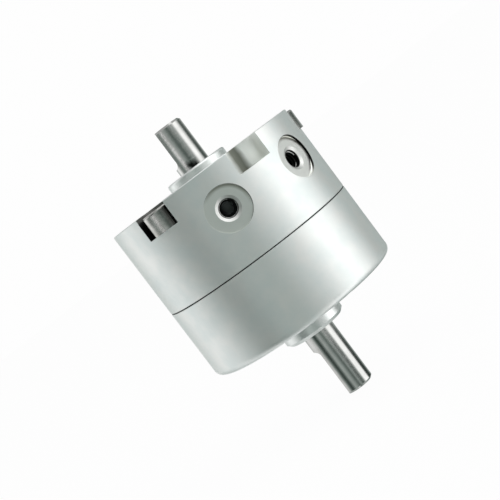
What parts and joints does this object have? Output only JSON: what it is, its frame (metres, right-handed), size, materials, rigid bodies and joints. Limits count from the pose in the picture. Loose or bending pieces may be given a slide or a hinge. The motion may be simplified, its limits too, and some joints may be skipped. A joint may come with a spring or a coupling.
{
  "type": "pneumatic rotary actuator",
  "caption": "Round vane-type pneumatic rotary actuator: split aluminium body with side air ports, screw pockets in the rim and a flatted shaft out of both ends.",
  "frame": {"origin": "centre of the lower mounting face, where the shaft's axis crosses the plane of the bolt pattern", "axes": "+Z along the shaft towards the half with the air ports; -Y midway between the two ports, through the stopper and an empty screw pocket"},
  "size_m": [0.05, 0.0508, 0.0757],
  "materials": {
    "cast_aluminium": "fine satin, machined and tumbled",
    "vane_aluminium": "machined",
    "shaft_steel": "ground bright",
    "screw_steel": "bright plated",
    "pin_steel": "ground",
    "bearing_steel": "polished",
    "holder_brass": "turned",
    "cage_plastic": "moulded",
    "seal_rubber": "moulded",
    "pad_rubber": "moulded"
  },
  "bodies": {
    "housing": {"upper_body": "cast_aluminium", "lower_body": "cast_aluminium", "body_seal": "seal_rubber", "body_screws": "screw_steel", "body_dowels": "pin_steel", "stopper": "vane_aluminium", "stopper_seal": "seal_rubber", "stopper_pins": "pin_steel", "stop_pad_left": "pad_rubber", "stop_pad_right": "pad_rubber", "lower_seal_holder": "holder_brass", "upper_seal_holder": "holder_brass", "lower_shaft_seal": "seal_rubber", "upper_shaft_seal": "seal_rubber", "lower_bearing_outer_ring": "bearing_steel", "upper_bearing_outer_ring": "bearing_steel"},
    "rotor": {"vane_shaft": "shaft_steel", "vane": "vane_aluminium", "vane_key": "pin_steel", "vane_seal": "seal_rubber", "lower_bearing_inner_ring": "bearing_steel", "upper_bearing_inner_ring": "bearing_steel"},
    "lower_ball_set": {"lower_bearing_balls": "bearing_steel", "lower_bearing_cage": "cage_plastic"},
    "upper_ball_set": {"upper_bearing_balls": "bearing_steel", "upper_bearing_cage": "cage_plastic"}
  },
  "joints": [
    {"name": "shaft_turn", "type": "hinge", "parent": "housing", "child": "rotor", "pos_m": [0, 0, 0.02025], "axis": [0, 0, 1], "range_deg": [-199, 71]},
    {"name": "lower_balls_turn", "type": "hinge", "parent": "housing", "child": "lower_ball_set", "pos_m": [0, 0, 0.0031], "axis": [0, 0, 1], "range_deg": [-80.77, 29.46]},
    {"name": "upper_balls_turn", "type": "hinge", "parent": "housing", "child": "upper_ball_set", "pos_m": [0, 0, 0.0374], "axis": [0, 0, 1], "range_deg": [-80.77, 29.46]}
  ],
  "couplings": [
    {"joint": "lower_balls_turn", "follows": "shaft_turn", "ratio": 0.40083},
    {"joint": "upper_balls_turn", "follows": "shaft_turn", "ratio": 0.40083}
  ]
}
